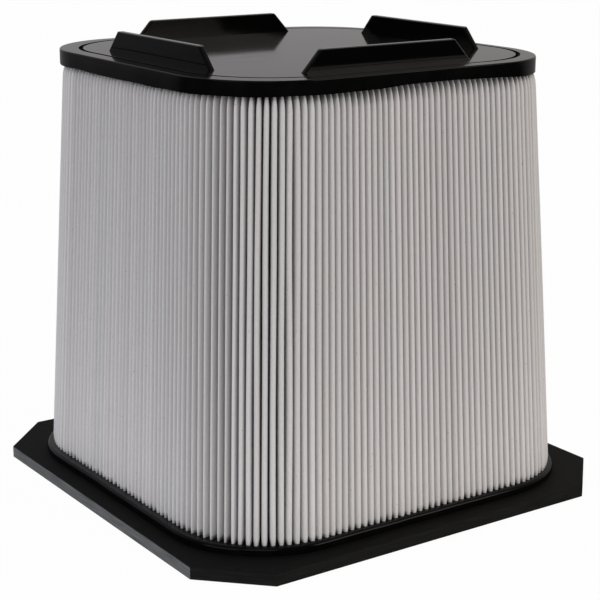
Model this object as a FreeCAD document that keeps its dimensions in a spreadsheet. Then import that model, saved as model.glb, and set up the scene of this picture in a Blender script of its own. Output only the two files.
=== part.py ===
import FreeCAD, Part
import math
import os

import Sketcher

# Air purifier filter: a square, tapered, pleated cartridge.
# It stands on its flange, with the closed end up, as it is photographed.
# The origin is the centre of the flange's underside and +Z runs up the cartridge.
# All lengths are in millimetres.

Vector = FreeCAD.Vector
doc = FreeCAD.newDocument("air_purifier_filter")

# Driving dimensions
SIZES = [
    ("flange_width", 210.0, "side of the square flange"),
    ("flange_thickness", 5.3, "thickness of the flange"),
    ("flange_corner_cut", 24.3, "leg of the cut across each flange corner"),
    ("flange_edge_break", 0.4, "small chamfer along the flange's edges"),
    ("outlet_lip", 1.2, "how far the flange reaches inwards under the support cage"),
    ("collar_height", 3.6, "cast ring's height over the flange"),
    ("collar_ledge", 2.4, "how far the cast ring stands out from the pleat tips"),
    ("collar_edge_break", 0.8, "chamfer along the cast ring's upper edge"),
    ("tip_foot_width", 189.0, "pleat tip to pleat tip across the sides, at the foot"),
    ("tip_head_width", 169.2, "pleat tip to pleat tip across the sides, at the head"),
    ("tip_corner_radius", 44.0, "corner radius over the pleat tips, at the foot"),
    ("media_height", 174.9, "free height of the pleated media"),
    ("pleat_depth", 18.0, "depth of one pleat at the foot"),
    ("pleat_count", 208, "number of pleats round the cartridge"),
    ("pitch_line_inset", 2.5, "depth of the line along which the pleats are evenly spaced"),
    ("media_thickness", 0.55, "thickness of the filter media"),
    ("tip_flat", 0.9, "width of the flat crest of a pleat tip"),
    ("tip_width", 1.9, "width of a pleat just behind its rounded tip"),
    ("tip_rounding", 0.55, "depth over which a pleat tip rounds off"),
    ("valley_gap", 0.4, "width of the air gap at the bottom of a valley"),
    ("cage_clearance", 0.4, "gap between the inner folds and the support cage"),
    ("cage_wall", 2.4, "wall of the support cage"),
    ("cage_corner_flats", 4, "flats that make up one rounded corner of the cage"),
    ("window_width", 14.0, "width of a cage window"),
    ("window_height", 28.0, "height of a cage window"),
    ("window_column_pitch", 18.0, "spacing of the window columns"),
    ("window_row_pitch", 33.0, "spacing of the window rows"),
    ("window_side_margin", 1.5, "least flat wall beside the outermost windows, at the head"),
    ("window_end_margin", 10.0, "least plain wall below and above the windows"),
    ("rim_overhang", 1.5, "how far the cap's rim stands out from the pleat tips"),
    ("rim_height", 6.8, "height of the cap's rim"),
    ("rim_edge_break", 0.6, "chamfer along the rim's upper edge"),
    ("plate_width", 157.2, "side of the closing plate"),
    ("plate_corner_radius", 38.4, "corner radius of the closing plate"),
    ("plate_thickness", 3.0, "thickness of the closing plate"),
    ("plate_seam", 0.4, "open seam between the closing plate and the rim"),
    ("plate_edge_break", 0.3, "small chamfer along the plate's upper edge"),
    ("rib_spacing", 136.0, "distance between the middles of opposite ribs"),
    ("rib_foot_length", 84.4, "length of a rib along the plate"),
    ("rib_crest_length", 67.0, "length of a rib along its crest"),
    ("rib_height", 8.9, "height of a rib over the plate"),
    ("rib_thickness", 2.8, "thickness of a rib"),
]

sheet = doc.addObject("Spreadsheet::Sheet", "sizes")
for row, (alias, value, meaning) in enumerate(SIZES, start=1):
    sheet.set(f"A{row}", alias)
    sheet.set(f"B{row}", str(value))
    sheet.setAlias(f"B{row}", alias)
    sheet.set(f"C{row}", meaning)
doc.recompute()

# A rough size for a sketch's lines before its constraints draw them to size
DRAFT = 20.0
# Points nearer to each other than this are taken as one
NEAR = 1e-3

# Levels and widths that several pieces share, as expressions on the sheet
FLANGE_TOP = "sizes.flange_thickness"
FOOT_LEVEL = "(sizes.flange_thickness + sizes.collar_height)"
HEAD_LEVEL = f"({FOOT_LEVEL} + sizes.media_height)"
CAP_TOP = f"({HEAD_LEVEL} + sizes.rim_height)"
PLATE_BOTTOM = f"({CAP_TOP} - sizes.plate_thickness)"
HEAD_SCALE = "(sizes.tip_head_width / sizes.tip_foot_width)"
FOLD_FOOT_WIDTH = "(sizes.tip_foot_width - 2 * sizes.pleat_depth)"
FOLD_HEAD_WIDTH = f"({FOLD_FOOT_WIDTH} * {HEAD_SCALE})"
FOLD_FOOT_RADIUS = "(sizes.tip_corner_radius - sizes.pleat_depth)"
FOLD_HEAD_RADIUS = f"({FOLD_FOOT_RADIUS} * {HEAD_SCALE})"
CAGE_FOOT_WIDTH = f"({FOLD_FOOT_WIDTH} - 2 * sizes.cage_clearance)"
CAGE_HEAD_WIDTH = f"({FOLD_HEAD_WIDTH} - 2 * sizes.cage_clearance)"
CAGE_FOOT_RADIUS = f"({FOLD_FOOT_RADIUS} - sizes.cage_clearance)"
CAGE_HEAD_RADIUS = f"({FOLD_HEAD_RADIUS} - sizes.cage_clearance)"


def size(alias):
    """The value of one cell of the sheet."""
    return float(sheet.get(alias))


def new_body(label):
    """An empty body for one piece."""
    body = doc.addObject("PartDesign::Body", label)
    body.Label = label
    return body


def origin_feature(body, role):
    """A plane or an axis of the body's own origin."""
    for feature in body.Origin.OriginFeatures:
        if feature.Role == role:
            return feature
    raise ValueError(f"no origin feature {role}")


def new_sketch(body, name, role="XY_Plane", level=None):
    """A sketch on one of the body's planes, raised to a level given as an expression."""
    sketch = body.newObject("Sketcher::SketchObject", name)
    sketch.AttachmentSupport = [(origin_feature(body, role), "")]
    sketch.MapMode = "FlatFace"
    if level:
        sketch.setExpression("AttachmentOffset.Base.z", level)
    return sketch


def named_length(sketch, name, kind, ends, expression):
    """A dimension between two points of a sketch, driven by the sheet."""
    index = sketch.addConstraint(Sketcher.Constraint(kind, *ends, DRAFT))
    sketch.renameConstraint(index, name)
    sketch.setExpression(f"Constraints.{name}", expression)


def add_outline(sketch, corners):
    """A closed outline of straight lines through rough corners."""
    count = len(corners)
    for here, there in zip(corners, corners[1:] + corners[:1]):
        sketch.addGeometry(Part.LineSegment(here, there))
    for side in range(count):
        sketch.addConstraint(Sketcher.Constraint("Coincident", side, 2, (side + 1) % count, 1))


def add_rectangle(sketch, width, height, bottom):
    """A rectangle over the sketch's origin, with its bottom edge at a level."""
    add_outline(sketch, [Vector(-DRAFT, DRAFT, 0), Vector(DRAFT, DRAFT, 0),
                         Vector(DRAFT, 2 * DRAFT, 0), Vector(-DRAFT, 2 * DRAFT, 0)])
    for side, direction in ((1, "Vertical"), (2, "Horizontal"), (3, "Vertical")):
        sketch.addConstraint(Sketcher.Constraint(direction, side))
    sketch.addConstraint(Sketcher.Constraint("Symmetric", 0, 1, 0, 2, -2))
    named_length(sketch, "width", "DistanceX", (0, 1, 0, 2), width)
    named_length(sketch, "height", "DistanceY", (1, 1, 1, 2), height)
    named_length(sketch, "bottom", "DistanceY", (-1, 1, 0, 1), bottom)


def square_sketch(body, name, width, level):
    """A square about the axis, at a level."""
    sketch = new_sketch(body, name, level=level)
    add_outline(sketch, [Vector(-DRAFT, -DRAFT, 0), Vector(DRAFT, -DRAFT, 0),
                         Vector(DRAFT, DRAFT, 0), Vector(-DRAFT, DRAFT, 0)])
    sketch.addConstraint(Sketcher.Constraint("Horizontal", 2))
    sketch.addConstraint(Sketcher.Constraint("Vertical", 3))
    sketch.addConstraint(Sketcher.Constraint("Symmetric", 0, 1, 0, 2, -2))
    sketch.addConstraint(Sketcher.Constraint("Symmetric", 1, 1, 1, 2, -1))
    named_length(sketch, "width", "DistanceX", (0, 1, 0, 2), width)
    named_length(sketch, "height", "DistanceY", (1, 1, 1, 2), width)
    return sketch


def rounded_sketch(body, name, width, radius, level):
    """A square with rounded corners about the axis, at a level."""
    sketch = new_sketch(body, name, level=level)
    quarter = math.pi / 2
    for side in range(4):
        turn = FreeCAD.Rotation(Vector(0, 0, 1), 90 * side)
        start = turn.multVec(Vector(-DRAFT, -2 * DRAFT, 0))
        finish = turn.multVec(Vector(DRAFT, -2 * DRAFT, 0))
        sketch.addGeometry(Part.LineSegment(start, finish))
        middle = turn.multVec(Vector(DRAFT, -DRAFT, 0))
        circle = Part.Circle(middle, Vector(0, 0, 1), DRAFT)
        sketch.addGeometry(Part.ArcOfCircle(circle, quarter * (side - 1), quarter * side))
    for side in range(4):
        line, arc, next_line = 2 * side, 2 * side + 1, (2 * side + 2) % 8
        sketch.addConstraint(Sketcher.Constraint("Tangent", line, 2, arc, 1))
        sketch.addConstraint(Sketcher.Constraint("Tangent", arc, 2, next_line, 1))
        if side:
            sketch.addConstraint(Sketcher.Constraint("Equal", 1, arc))
    sketch.addConstraint(Sketcher.Constraint("Horizontal", 4))
    sketch.addConstraint(Sketcher.Constraint("Vertical", 6))
    sketch.addConstraint(Sketcher.Constraint("Symmetric", 0, 1, 0, 2, -2))
    sketch.addConstraint(Sketcher.Constraint("Symmetric", 2, 1, 2, 2, -1))
    named_length(sketch, "radius", "Radius", (1,), radius)
    named_length(sketch, "width", "DistanceX", (6, 1, 2, 1), width)
    named_length(sketch, "height", "DistanceY", (0, 1, 4, 1), width)
    doc.recompute()
    return sketch


def flatted_sketch(body, name, width, radius, level):
    """The same square, each corner made up of equal flats between points of its arc."""
    sketch = rounded_sketch(body, name, width, radius, level)
    flats = round(size("cage_corner_flats"))
    for arc in (1, 3, 5, 7):
        curve = sketch.Geometry[arc]
        step = (curve.LastParameter - curve.FirstParameter) / flats
        points = [curve.value(curve.FirstParameter + step * k) for k in range(flats + 1)]
        sketch.toggleConstruction(arc)
        chords = [sketch.addGeometry(Part.LineSegment(*ends)) for ends in zip(points, points[1:])]
        sketch.addConstraint(Sketcher.Constraint("Coincident", chords[0], 1, arc, 1))
        sketch.addConstraint(Sketcher.Constraint("Coincident", chords[-1], 2, arc, 2))
        for before, after in zip(chords, chords[1:]):
            sketch.addConstraint(Sketcher.Constraint("Coincident", before, 2, after, 1))
            sketch.addConstraint(Sketcher.Constraint("PointOnObject", after, 1, arc))
            sketch.addConstraint(Sketcher.Constraint("Equal", before, after))
    doc.recompute()
    return sketch


def pad(body, name, sketch, length):
    """A sketch raised into a solid."""
    feature = body.newObject("PartDesign::Pad", name)
    feature.Profile = sketch
    feature.setExpression("Length", length)
    doc.recompute()
    return feature


def pocket_through(body, name, sketch):
    """A sketch cut right through, both ways from its plane."""
    feature = body.newObject("PartDesign::Pocket", name)
    feature.Profile = sketch
    feature.SideType = "Symmetric"
    feature.Type = "ThroughAll"
    doc.recompute()
    return feature


def pocket_down(body, name, sketch, depth):
    """A sketch cut down from its plane to a depth."""
    feature = body.newObject("PartDesign::Pocket", name)
    feature.Profile = sketch
    feature.setExpression("Length", depth)
    doc.recompute()
    return feature


def dress_edges(body, name, kind, amount, wanted):
    """A fillet or a chamfer on each edge of the body that the test picks."""
    base = body.Tip
    picked = [f"Edge{n}" for n, edge in enumerate(base.Shape.Edges, start=1) if wanted(edge)]
    feature = body.newObject(kind, name)
    feature.Base = (base, picked)
    feature.setExpression("Radius" if kind.endswith("Fillet") else "Size", amount)
    doc.recompute()
    return feature


def is_upright(edge):
    """Whether an edge runs from one level to another."""
    levels = [vertex.Z for vertex in edge.Vertexes]
    return max(levels) - min(levels) > NEAR


def at_level(shape, level):
    """Whether an edge or a face lies flat at a level."""
    return all(abs(vertex.Z - level) < NEAR for vertex in shape.Vertexes)


def break_upper_edge(body, name, amount):
    """A chamfer along the outer edge of a piece's flat top."""
    shape = body.Tip.Shape
    tops = [face for face in shape.Faces if at_level(face, shape.BoundBox.ZMax)]
    outline = max(tops, key=lambda face: face.BoundBox.DiagonalLength).OuterWire.Edges
    dress_edges(body, name, "PartDesign::Chamfer", amount,
                lambda edge: any(edge.isSame(other) for other in outline))


def base_flange():
    """The square plate that seals against the machine, with its corners cut off."""
    body = new_body("base_flange")
    square = square_sketch(body, "flange_square", "sizes.flange_width", "0")
    pad(body, "flange_pad", square, "sizes.flange_thickness")
    dress_edges(body, "corner_cuts", "PartDesign::Chamfer", "sizes.flange_corner_cut", is_upright)
    top = size("flange_thickness")
    dress_edges(body, "edge_breaks", "PartDesign::Chamfer", "sizes.flange_edge_break",
                lambda edge: at_level(edge, 0) or at_level(edge, top))
    inset = "(sizes.cage_wall + sizes.outlet_lip)"
    outlet = rounded_sketch(body, "outlet_square", f"{CAGE_FOOT_WIDTH} - 2 * {inset}",
                            f"{CAGE_FOOT_RADIUS} - {inset}", FLANGE_TOP)
    pocket_through(body, "outlet", outlet)
    return body


def cast_ring(label, level, height, outer, inner):
    """A square cast ring round the ends of the pleats, from two widths with their radii."""
    body = new_body(label)
    outside = rounded_sketch(body, f"{label}_outer", *outer, level)
    pad(body, f"{label}_pad", outside, height)
    inside = rounded_sketch(body, f"{label}_inner", *inner, level)
    pocket_through(body, f"{label}_opening", inside)
    return body


def lower_potting_ring():
    """The cast ring on the flange that holds the foot of the pleats."""
    outer = ("sizes.tip_foot_width + 2 * sizes.collar_ledge",
             "sizes.tip_corner_radius + sizes.collar_ledge")
    body = cast_ring("lower_potting_ring", FLANGE_TOP, "sizes.collar_height",
                     outer, (FOLD_FOOT_WIDTH, FOLD_FOOT_RADIUS))
    break_upper_edge(body, "ring_edge", "sizes.collar_edge_break")
    return body


def upper_potting_ring():
    """The cast cap ring over the head of the pleats, with a seat for the closing plate."""
    outer = ("sizes.tip_head_width + 2 * sizes.rim_overhang",
             f"sizes.tip_corner_radius * {HEAD_SCALE} + sizes.rim_overhang")
    body = cast_ring("upper_potting_ring", HEAD_LEVEL, "sizes.rim_height",
                     outer, (FOLD_HEAD_WIDTH, FOLD_HEAD_RADIUS))
    seat = rounded_sketch(body, "seat_square", "sizes.plate_width + 2 * sizes.plate_seam",
                          "sizes.plate_corner_radius + sizes.plate_seam", CAP_TOP)
    pocket_down(body, "seat", seat, "sizes.plate_thickness")
    break_upper_edge(body, "rim_edge", "sizes.rim_edge_break")
    return body


def closing_plate():
    """The plate that closes the head of the cartridge, with four ribs, in one moulding."""
    body = new_body("closing_plate")
    square = rounded_sketch(body, "plate_square", "sizes.plate_width",
                            "sizes.plate_corner_radius", PLATE_BOTTOM)
    pad(body, "plate_pad", square, "sizes.plate_thickness")
    break_upper_edge(body, "plate_edge", "sizes.plate_edge_break")
    rib = pad(body, "rib", rib_sketch(body), "sizes.rib_thickness")
    rib.SideType = "Symmetric"
    ribs = body.newObject("PartDesign::PolarPattern", "ribs")
    ribs.Originals = [rib]
    ribs.Axis = (origin_feature(body, "Z_Axis"), [""])
    ribs.Angle = 360
    ribs.Occurrences = 4
    body.Tip = ribs
    doc.recompute()
    return body


def rib_sketch(body):
    """A rib's outline: a low trapezoid, longer at its foot than along its crest."""
    sketch = new_sketch(body, "rib_outline", "XZ_Plane", "sizes.rib_spacing / 2")
    add_outline(sketch, [Vector(-DRAFT, DRAFT, 0), Vector(DRAFT, DRAFT, 0),
                         Vector(DRAFT / 2, 2 * DRAFT, 0), Vector(-DRAFT / 2, 2 * DRAFT, 0)])
    sketch.addConstraint(Sketcher.Constraint("Symmetric", 0, 1, 0, 2, -2))
    sketch.addConstraint(Sketcher.Constraint("Symmetric", 2, 1, 2, 2, -2))
    named_length(sketch, "foot", "DistanceX", (0, 1, 0, 2), "sizes.rib_foot_length")
    named_length(sketch, "crest", "DistanceX", (2, 2, 2, 1), "sizes.rib_crest_length")
    named_length(sketch, "rise", "DistanceY", (0, 2, 2, 1), "sizes.rib_height")
    named_length(sketch, "level", "DistanceY", (-1, 1, 0, 1), CAP_TOP)
    return sketch


def tapered_square(body, kind, name, foot, head):
    """A square block with flatted corners from the flange up to the plate, added or taken away."""
    feature = body.newObject(f"PartDesign::{kind}", name)
    feature.Profile = flatted_sketch(body, f"{name}_foot", *foot, FLANGE_TOP)
    feature.Sections = [flatted_sketch(body, f"{name}_head", *head, PLATE_BOTTOM)]
    feature.Ruled = True
    body.Tip = feature
    doc.recompute()


def support_cage():
    """The moulded lattice that keeps the pleats from being drawn in by the suction."""
    body = new_body("support_cage")
    tapered_square(body, "AdditiveLoft", "cage_block", (CAGE_FOOT_WIDTH, CAGE_FOOT_RADIUS),
                   (CAGE_HEAD_WIDTH, CAGE_HEAD_RADIUS))
    wall = "sizes.cage_wall"
    tapered_square(body, "SubtractiveLoft", "cage_hollow",
                   (f"{CAGE_FOOT_WIDTH} - 2 * {wall}", f"{CAGE_FOOT_RADIUS} - {wall}"),
                   (f"{CAGE_HEAD_WIDTH} - 2 * {wall}", f"{CAGE_HEAD_RADIUS} - {wall}"))
    for role in ("XZ_Plane", "YZ_Plane"):
        cut_windows(body, role)
    return body


def cut_windows(body, role):
    """Rows and columns of windows through two opposite sides of the cage."""
    flat = f"({CAGE_HEAD_WIDTH} / 2 - {CAGE_HEAD_RADIUS} - sizes.window_side_margin)"
    columns = f"floor(({flat} - sizes.window_width / 2) / sizes.window_column_pitch) + 1"
    room = f"({PLATE_BOTTOM} - {FLANGE_TOP} - sizes.window_height - 2 * sizes.window_end_margin)"
    rows = f"(floor({room} / sizes.window_row_pitch) + 1)"
    field = f"(({rows} - 1) * sizes.window_row_pitch + sizes.window_height)"
    sketch = new_sketch(body, f"window_{role[:2]}", role)
    add_rectangle(sketch, "sizes.window_width", "sizes.window_height",
                  f"({FLANGE_TOP} + {PLATE_BOTTOM} - {field}) / 2")
    window = pocket_through(body, f"window_cut_{role[:2]}", sketch)
    for way, backwards in (("right", False), ("left", True)):
        pattern = body.newObject("PartDesign::LinearPattern", f"windows_{role[:2]}_{way}")
        pattern.Originals = [window]
        pattern.Direction = (sketch, ["H_Axis"])
        pattern.Reversed = backwards
        pattern.Mode = "Spacing"
        pattern.setExpression("Offset", "sizes.window_column_pitch")
        pattern.setExpression("Occurrences", columns)
        pattern.Direction2 = (sketch, ["V_Axis"])
        pattern.Mode2 = "Spacing"
        pattern.setExpression("Offset2", "sizes.window_row_pitch")
        pattern.setExpression("Occurrences2", rows)
        body.Tip = pattern
        doc.recompute()


def pitch_point(fraction, half, radius, inset):
    """A place on the rounded square through the pleat tips, and the way out from it.

    Fractions run evenly along the line that lies the inset inside the tips.
    """
    straight = 2 * (half - radius)
    arc = math.pi / 2 * (radius - inset)
    side, along = divmod(fraction * 4 * (straight + arc), straight + arc)
    if along < straight:
        angle = 0.0
        place = Vector(half, along - straight / 2, 0)
    else:
        angle = (along - straight) / (radius - inset)
        place = Vector(half - radius + radius * math.cos(angle),
                       straight / 2 + radius * math.sin(angle), 0)
    turn = FreeCAD.Rotation(Vector(0, 0, 1), 90 * side)
    outward = turn.multVec(Vector(math.cos(angle), math.sin(angle), 0))
    return turn.multVec(place), outward


def fold_points(place, outward, steps):
    """Points beside one fold line: each step is a distance sideways and a depth."""
    along = Vector(0, 0, 1).cross(outward)
    return [place + along * sideways - outward * depth for sideways, depth in steps]


def pleat_loops():
    """The outer and the inner skin of the folded sheet, as closed loops at the foot."""
    count = int(size("pleat_count"))
    thickness, depth = size("media_thickness"), size("pleat_depth")
    crest, shoulder = size("tip_flat") / 2, size("tip_width") / 2
    rounding, gap = size("tip_rounding"), size("valley_gap") / 2
    outer_tip = [(-shoulder, rounding), (-crest, 0), (crest, 0), (shoulder, rounding)]
    inner_tip = [(thickness - shoulder, thickness), (shoulder - thickness, thickness)]
    outer_valley = [(-gap, depth - thickness), (gap, depth - thickness)]
    inner_valley = [(-gap - thickness, depth), (gap + thickness, depth)]
    outline = (size("tip_foot_width") / 2, size("tip_corner_radius"), size("pitch_line_inset"))
    outer, inner = [], []
    for pleat in range(count):
        valley = pitch_point(pleat / count, *outline)
        tip = pitch_point((pleat + 0.5) / count, *outline)
        outer += fold_points(*valley, outer_valley) + fold_points(*tip, outer_tip)
        inner += fold_points(*valley, inner_valley) + fold_points(*tip, inner_tip)
    return outer, inner


def level_loop(loop, scale, level):
    """A loop shrunk towards the axis and set at a level."""
    return [Vector(point.x * scale, point.y * scale, level) for point in loop]


def ruled_walls(lower, upper):
    """One flat face between each edge of the lower loop and the same edge of the upper one."""
    faces = []
    for here in range(len(lower)):
        there = (here + 1) % len(lower)
        corners = [lower[here], lower[there], upper[there], upper[here], lower[here]]
        faces.append(Part.Face(Part.makePolygon(corners)))
    return faces


def sheet_end(outer, inner):
    """The cut edge of the folded sheet, between its two skins."""
    outer_wire = Part.makePolygon(outer + outer[:1])
    hole_wire = Part.makePolygon(inner[::-1] + inner[-1:])
    return Part.Face([outer_wire, hole_wire])


def pleated_media():
    """One sheet of media, folded to and fro round the cartridge and joined end to end.

    The folds all lean towards one point high over the head, so each facet is flat.
    """
    foot_level = size("flange_thickness") + size("collar_height")
    head_level = foot_level + size("media_height")
    head_scale = size("tip_head_width") / size("tip_foot_width")
    outer, inner = pleat_loops()
    outer_foot, inner_foot = level_loop(outer, 1, foot_level), level_loop(inner, 1, foot_level)
    outer_head = level_loop(outer, head_scale, head_level)
    inner_head = level_loop(inner, head_scale, head_level)
    faces = ruled_walls(outer_foot, outer_head) + ruled_walls(inner_foot, inner_head)
    faces += [sheet_end(outer_foot, inner_foot), sheet_end(outer_head, inner_head)]
    folded = doc.addObject("Part::Feature", "pleated_media")
    folded.Label = "pleated_media"
    folded.Shape = Part.makeSolid(Part.makeShell(faces))
    folded.Placement = FreeCAD.Placement()
    return folded


pieces = [
    base_flange(),
    lower_potting_ring(),
    support_cage(),
    pleated_media(),
    upper_potting_ring(),
    closing_plate(),
]
doc.recompute()

for item in doc.Objects:
    if "Invalid" in item.State or "Error" in item.State:
        raise RuntimeError(f"{item.Name} is {item.State}")

os.makedirs("parts", exist_ok=True)
for piece in pieces:
    shape = piece.Shape
    if shape.isNull() or not shape.isValid() or shape.Volume <= 0 or len(shape.Solids) != 1:
        raise RuntimeError(f"{piece.Label} is not one sound solid")
    shape.exportStep(f"parts/{piece.Label}.step")
    box = shape.BoundBox
    print(f"{piece.Label}: {shape.Volume / 1000:.1f} cm3, z {box.ZMin:.1f} to {box.ZMax:.1f},",
          f"{box.XLength:.1f} by {box.YLength:.1f}, {len(shape.Faces)} faces")
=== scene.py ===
# %% [markdown]
# # An air purifier filter cartridge
#
# A square cartridge with a white pleated filter pack. Its head and foot are cast into black
# rings. A closing plate with four ribs sits in the upper ring, and a flange with cut corners
# carries the lower one. The air goes in through the pleats and out through the foot.
#
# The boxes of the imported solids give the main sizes, and radii and tapers follow the solids'
# own. Each piece that shows is modelled here again, with the small irregularities of the real
# one, and it stays where its solid is. Only the cage behind the pleats is the solid itself,
# with a finish of its own.

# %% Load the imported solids
import math

import bmesh
import bpy
import numpy as np
from mathutils import Matrix, Vector


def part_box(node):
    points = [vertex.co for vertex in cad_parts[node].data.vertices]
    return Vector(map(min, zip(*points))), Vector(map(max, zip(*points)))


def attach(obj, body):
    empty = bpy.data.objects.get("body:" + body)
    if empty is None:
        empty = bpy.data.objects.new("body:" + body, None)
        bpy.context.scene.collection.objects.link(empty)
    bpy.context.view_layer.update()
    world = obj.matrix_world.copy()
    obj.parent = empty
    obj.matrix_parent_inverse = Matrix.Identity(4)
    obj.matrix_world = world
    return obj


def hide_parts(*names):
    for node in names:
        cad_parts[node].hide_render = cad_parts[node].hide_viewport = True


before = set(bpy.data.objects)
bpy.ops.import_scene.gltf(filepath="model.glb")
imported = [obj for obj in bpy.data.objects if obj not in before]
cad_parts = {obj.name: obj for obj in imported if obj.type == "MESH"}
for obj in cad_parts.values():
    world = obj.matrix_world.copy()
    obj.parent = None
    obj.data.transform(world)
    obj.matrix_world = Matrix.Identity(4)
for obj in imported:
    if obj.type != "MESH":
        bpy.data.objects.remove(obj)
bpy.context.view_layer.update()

MM = 0.001
NEAR = 1e-6
print("solids:", ", ".join(sorted(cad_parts)))

# %% [markdown]
# ## The camera
#
# The picture looks at one rounded corner of the cartridge from a little above, so two sides
# and the whole cap show. The camera stands about 0.7 metres away and has a short telephoto
# lens, which keeps the uprights nearly parallel. Its direction is given as the angle round the
# cartridge, the height angle and a very slight roll. The left side in the picture is the one
# towards -x, and the right side is the one towards -y.

# %% Place the camera
AZIMUTH, ELEVATION, ROLL = (math.radians(a) for a in (-34.5834, 15.2998, 0.1102))
CAMERA_PLACE = (-0.39328, -0.57368, 0.26851)
SENSOR_WIDTH, FOCAL_LENGTH = 36, 95.86
bpy.ops.object.camera_add(location=CAMERA_PLACE)
camera = bpy.context.object
camera.name = "camera"
turn = Matrix.Rotation(AZIMUTH, 3, "Z") @ Matrix.Rotation(math.pi / 2 - ELEVATION, 3, "X")
camera.rotation_euler = (turn @ Matrix.Rotation(ROLL, 3, "Z")).to_euler()
camera.data.sensor_width = SENSOR_WIDTH
camera.data.lens = FOCAL_LENGTH
bpy.context.scene.camera = camera
view_line = turn @ Vector((0, 0, -1))
print("camera looks along", [round(c, 3) for c in view_line])

# %% [markdown]
# ## Helpers for modelling
#
# An operator works on whatever is selected, and everything is selected after loading. So each
# piece starts from nothing selected, and edges and faces are picked by where they are.

# %% Select by place
def only(*pieces):
    """Selects these pieces and nothing else, the last one active."""
    bpy.ops.object.select_all(action="DESELECT")
    for piece in pieces:
        piece.select_set(True)
        bpy.context.view_layer.objects.active = piece


def pick(kind, test):
    """Selects the edges or faces of the piece in edit mode that pass the test."""
    mesh = bpy.context.object.data
    bpy.ops.mesh.select_all(action="DESELECT")
    bpy.ops.mesh.select_mode(type=kind)
    shape = bmesh.from_edit_mesh(mesh)
    for item in shape.edges if kind == "EDGE" else shape.faces:
        if kind == "EDGE":
            item.select_set(bool(test(item.verts[0].co, item.verts[1].co)))
        else:
            item.select_set(bool(test(item.calc_center_median(), item.normal)))
    bmesh.update_edit_mesh(mesh)


def edit(piece):
    """Opens a piece in edit mode with all of it selected."""
    only(piece)
    bpy.ops.object.mode_set(mode="EDIT")
    bpy.ops.mesh.select_mode(type="VERT")
    bpy.ops.mesh.select_all(action="SELECT")


# %% Finish a mesh
def close(piece, angle=35):
    """Turns the faces outwards, leaves edit mode and smooths what is flatter than the angle."""
    bpy.ops.mesh.select_all(action="SELECT")
    bpy.ops.mesh.normals_make_consistent(inside=False)
    bpy.ops.object.mode_set(mode="OBJECT")
    only(piece)
    bpy.ops.object.shade_smooth_by_angle(angle=math.radians(angle))


def firm(piece):
    """Keeps wide faces flat and lets the narrow rounded ones beside them blend."""
    only(piece)
    bpy.ops.object.shade_smooth_by_angle(angle=math.radians(60))
    shading = piece.modifiers.new("shading", "WEIGHTED_NORMAL")
    shading.keep_sharp = True
    bpy.ops.object.modifier_apply(modifier="shading")


def soften(piece, size):
    """Rounds every edge of a piece that is sharper than thirty degrees."""
    edges = piece.modifiers.new("edges", "BEVEL")
    edges.width = size
    edges.segments = 2
    edges.limit_method = "ANGLE"
    edges.angle_limit = math.radians(30)
    bpy.ops.object.modifier_apply(modifier="edges")
    bpy.ops.object.shade_smooth_by_angle(angle=math.radians(35))


def add_or_cut(piece, other, how):
    """Adds another solid to a piece or cuts it out of it, and deletes the other one."""
    change = piece.modifiers.new("change", "BOOLEAN")
    change.operation = how
    change.solver = "EXACT"
    change.object = other
    only(piece)
    bpy.ops.object.modifier_apply(modifier="change")
    bpy.data.objects.remove(other)


# %% Read and move points
def points_of(piece):
    """All the points of a mesh as rows of x, y and z."""
    flat = np.zeros(len(piece.data.vertices) * 3)
    piece.data.vertices.foreach_get("co", flat)
    return flat.reshape(-1, 3)


def move_points(piece, places):
    """Puts the points of a mesh at new places."""
    piece.data.vertices.foreach_set("co", places.ravel())
    piece.data.update()


def triangles(piece):
    """How many triangles a mesh has."""
    return sum(len(face.vertices) - 2 for face in piece.data.polygons)


def ramp(values, length):
    """Grows evenly from 0 at no length to 1 at the given one, and stays at 1 past it."""
    return np.clip(values / length, 0, 1)


def hump(values, middle, spread, power=2):
    """A soft hump, which is 1 at the middle and nearly gone two spreads away from it."""
    return np.exp(-(((values - middle) / spread) ** power))


# %% [markdown]
# ## Loops with rounded corners
#
# Rings and plates here are all squares with wide round corners. A plane with its corners
# bevelled gives such a loop exactly. The straight runs are divided as well, so that a wall can
# later be made a little uneven, as a cast one is. Two loops are then bridged to make a wall.
# Two loops at one level are easily bridged askew, so all are drawn well apart, one above the
# other, and only then brought to their levels.

# %% Rounded square loops
CORNER_STEPS = 14
RUN_STEPS = 14


def outline_distance(point, half, radius):
    """How far a point lies outside a rounded square, seen from above."""
    across, along = abs(point[0]) - (half - radius), abs(point[1]) - (half - radius)
    if across > 0 and along > 0:
        return math.hypot(across, along) - radius
    return max(across, along) - radius


def on_loop(point, loop):
    """Whether a point lies on a loop, given as half width, corner radius and level."""
    half, radius, level = loop
    return abs(point.z - level) < NEAR and abs(outline_distance(point, half, radius)) < NEAR


def pick_loop(loop):
    """Selects the edges of one loop of the piece in edit mode."""
    pick("EDGE", lambda a, b: on_loop(a, loop) and on_loop(b, loop))


def add_loop(loop):
    """Adds a rounded square loop of edges to the piece in edit mode."""
    half, radius, level = loop
    bpy.ops.mesh.primitive_plane_add(size=2 * half, location=(0, 0, level))
    bpy.ops.mesh.bevel(offset=radius, segments=CORNER_STEPS, affect="VERTICES")
    pick("EDGE", lambda a, b: on_loop(a, loop) and on_loop(b, loop) and (a - b).length > half / 3)
    bpy.ops.mesh.subdivide(number_cuts=RUN_STEPS - 1)
    pick("FACE", lambda c, n: abs(c.z - level) < NEAR and abs(c.x) < NEAR and abs(c.y) < NEAR)
    bpy.ops.mesh.delete(type="ONLY_FACE")


def round_edge(loop, size, steps):
    """Rounds the edge along a loop of the piece in edit mode."""
    pick_loop(loop)
    bpy.ops.mesh.bevel(offset=size, segments=steps, affect="EDGES")


# %% Walls between loops
DRAWN_AT, DRAWN_APART = 0.5, 0.04


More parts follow.
